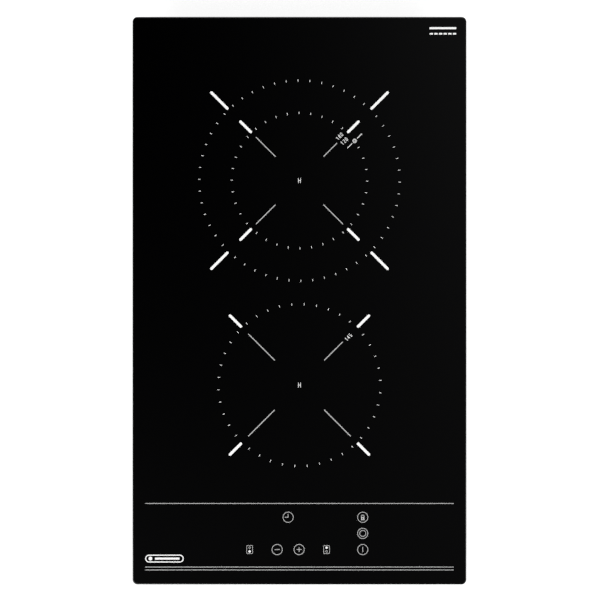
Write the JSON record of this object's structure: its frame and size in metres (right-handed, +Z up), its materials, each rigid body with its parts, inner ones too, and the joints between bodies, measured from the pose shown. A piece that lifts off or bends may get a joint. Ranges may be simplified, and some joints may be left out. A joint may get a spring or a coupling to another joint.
{
  "type": "electric cooktop",
  "caption": "Built-in domino glass-ceramic cooktop with a dual-circuit rear zone, a single front zone, touch controls, underside casing and swing-out worktop clamps.",
  "frame": {"origin": "centre of the worktop cut-out on the worktop's surface, at the underside of the rim seal", "axes": "+X right, +Y from the controls towards the wall, +Z up out of the worktop"},
  "size_m": [0.3, 0.51, 0.0511],
  "materials": {
    "glass_ceramic": "black glass-ceramic, polished, ground edge",
    "white_print": "white ceramic enamel, screen printed",
    "fine_print": "grey ceramic enamel, screen printed",
    "rim_foam": "closed-cell foam tape",
    "silicone": "cured silicone adhesive",
    "galvanised_frame": "galvanised sheet",
    "galvanised_tray": "galvanised sheet",
    "galvanised_shield": "aluminised sheet",
    "zinc_screws": "zinc plated",
    "heater_dish": "spun sheet",
    "heater_insulation": "pressed microporous insulation board",
    "heating_ribbon": "oxidised resistance alloy",
    "limiter_rod": "quartz tube",
    "steatite": "fired steatite",
    "spring_steel": "spring strip",
    "carrier_plastic": "moulded, glass filled",
    "circuit_board": "solder resist",
    "contact_spring": "gold flashed",
    "display_lens": "smoked lens",
    "connector_plastic": "natural nylon",
    "relay_case": "black case",
    "transformer_core": "laminated core, varnished",
    "capacitor_case": "sleeved case",
    "ribbon_cable": "flat flexible cable",
    "heat_wire": "silicone sleeved wire",
    "supply_wire": "insulated wire",
    "rubber_grommet": "moulded rubber",
    "box_plastic": "moulded, fine texture",
    "block_plastic": "moulded polyamide",
    "brass_screws": "turned brass",
    "black_screws": "black passivated steel",
    "clamp_steel": "stamped, zinc plated",
    "pad_rubber": "moulded rubber"
  },
  "bodies": {
    "hob": {"glass_plate": "glass_ceramic", "rear_zone_print": "white_print", "front_zone_print": "white_print", "control_panel_print": "white_print", "fine_line_print": "fine_print", "perimeter_seal": "rim_foam", "adhesive_bead": "silicone", "support_frame": "galvanised_frame", "bottom_tray": "galvanised_tray", "tray_screws": "zinc_screws", "heat_shield": "galvanised_shield", "rear_heater_dish": "heater_dish", "rear_heater_insulation": "heater_insulation", "rear_inner_ribbon": "heating_ribbon", "rear_outer_ribbon": "heating_ribbon", "rear_limiter_rod": "limiter_rod", "rear_limiter_head": "steatite", "rear_heater_terminals": "steatite", "rear_heater_springs": "spring_steel", "front_heater_dish": "heater_dish", "front_heater_insulation": "heater_insulation", "front_ribbon": "heating_ribbon", "front_limiter_rod": "limiter_rod", "front_limiter_head": "steatite", "front_heater_terminals": "steatite", "front_heater_springs": "spring_steel", "control_carrier": "carrier_plastic", "touch_board": "circuit_board", "touch_springs": "contact_spring", "displays": "display_lens", "board_connectors": "connector_plastic", "power_board": "circuit_board", "relays": "relay_case", "transformer": "transformer_core", "capacitors": "capacitor_case", "buzzer": "relay_case", "board_screws": "zinc_screws", "ribbon_cable": "ribbon_cable", "heater_wires": "heat_wire", "supply_wires": "supply_wire", "wire_grommet": "rubber_grommet", "terminal_box": "box_plastic", "terminal_block": "block_plastic", "terminal_screws": "brass_screws", "earth_stud": "brass_screws", "clamp_posts": "zinc_screws", "clamp_pivot_screws": "black_screws"},
    "terminal_cover": {"terminal_cover": "box_plastic"},
    "clamp_arm_front_left": {"front_left_clamp_arm": "clamp_steel"},
    "clamp_pad_front_left": {"front_left_clamp_pad": "pad_rubber"},
    "clamp_screw_front_left": {"front_left_clamp_screw": "black_screws"},
    "clamp_arm_front_right": {"front_right_clamp_arm": "clamp_steel"},
    "clamp_pad_front_right": {"front_right_clamp_pad": "pad_rubber"},
    "clamp_screw_front_right": {"front_right_clamp_screw": "black_screws"},
    "clamp_arm_rear_left": {"rear_left_clamp_arm": "clamp_steel"},
    "clamp_pad_rear_left": {"rear_left_clamp_pad": "pad_rubber"},
    "clamp_screw_rear_left": {"rear_left_clamp_screw": "black_screws"},
    "clamp_arm_rear_right": {"rear_right_clamp_arm": "clamp_steel"},
    "clamp_pad_rear_right": {"rear_right_clamp_pad": "pad_rubber"},
    "clamp_screw_rear_right": {"rear_right_clamp_screw": "black_screws"}
  },
  "joints": [
    {"name": "terminal_cover_hinge", "type": "hinge", "parent": "hob", "child": "terminal_cover", "pos_m": [-0.075, 0.2381, -0.0439], "axis": [-1, 0, 0], "range_deg": [0, 90]},
    {"name": "clamp_swing_front_left", "type": "hinge", "parent": "hob", "child": "clamp_arm_front_left", "pos_m": [-0.1315, -0.16, -0.03345], "axis": [0, 0, 1], "range_deg": [0, 90]},
    {"name": "clamp_pad_lift_front_left", "type": "slide", "parent": "clamp_arm_front_left", "child": "clamp_pad_front_left", "axis": [0, 0, 1], "range_m": [-0.0088, 0]},
    {"name": "clamp_screw_turn_front_left", "type": "hinge", "parent": "clamp_pad_front_left", "child": "clamp_screw_front_left", "pos_m": [-0.1315, -0.136, -0.022], "axis": [0, 0, 1], "range_deg": [-4526, 0]},
    {"name": "clamp_swing_front_right", "type": "hinge", "parent": "hob", "child": "clamp_arm_front_right", "pos_m": [0.1315, -0.16, -0.03345], "axis": [0, 0, -1], "range_deg": [0, 90]},
    {"name": "clamp_pad_lift_front_right", "type": "slide", "parent": "clamp_arm_front_right", "child": "clamp_pad_front_right", "axis": [0, 0, 1], "range_m": [-0.0088, 0]},
    {"name": "clamp_screw_turn_front_right", "type": "hinge", "parent": "clamp_pad_front_right", "child": "clamp_screw_front_right", "pos_m": [0.1315, -0.136, -0.022], "axis": [0, 0, 1], "range_deg": [-4526, 0]},
    {"name": "clamp_swing_rear_left", "type": "hinge", "parent": "hob", "child": "clamp_arm_rear_left", "pos_m": [-0.1315, 0.16, -0.03345], "axis": [0, 0, -1], "range_deg": [0, 90]},
    {"name": "clamp_pad_lift_rear_left", "type": "slide", "parent": "clamp_arm_rear_left", "child": "clamp_pad_rear_left", "axis": [0, 0, 1], "range_m": [-0.0088, 0]},
    {"name": "clamp_screw_turn_rear_left", "type": "hinge", "parent": "clamp_pad_rear_left", "child": "clamp_screw_rear_left", "pos_m": [-0.1315, 0.136, -0.022], "axis": [0, 0, 1], "range_deg": [-4526, 0]},
    {"name": "clamp_swing_rear_right", "type": "hinge", "parent": "hob", "child": "clamp_arm_rear_right", "pos_m": [0.1315, 0.16, -0.03345], "axis": [0, 0, 1], "range_deg": [0, 90]},
    {"name": "clamp_pad_lift_rear_right", "type": "slide", "parent": "clamp_arm_rear_right", "child": "clamp_pad_rear_right", "axis": [0, 0, 1], "range_m": [-0.0088, 0]},
    {"name": "clamp_screw_turn_rear_right", "type": "hinge", "parent": "clamp_pad_rear_right", "child": "clamp_screw_rear_right", "pos_m": [0.1315, 0.136, -0.022], "axis": [0, 0, 1], "range_deg": [-4526, 0]}
  ],
  "couplings": [
    {"joint": "clamp_screw_turn_front_left", "follows": "clamp_pad_lift_front_left", "rad_per_m": 8976},
    {"joint": "clamp_screw_turn_front_right", "follows": "clamp_pad_lift_front_right", "rad_per_m": 8976},
    {"joint": "clamp_screw_turn_rear_left", "follows": "clamp_pad_lift_rear_left", "rad_per_m": 8976},
    {"joint": "clamp_screw_turn_rear_right", "follows": "clamp_pad_lift_rear_right", "rad_per_m": 8976}
  ]
}
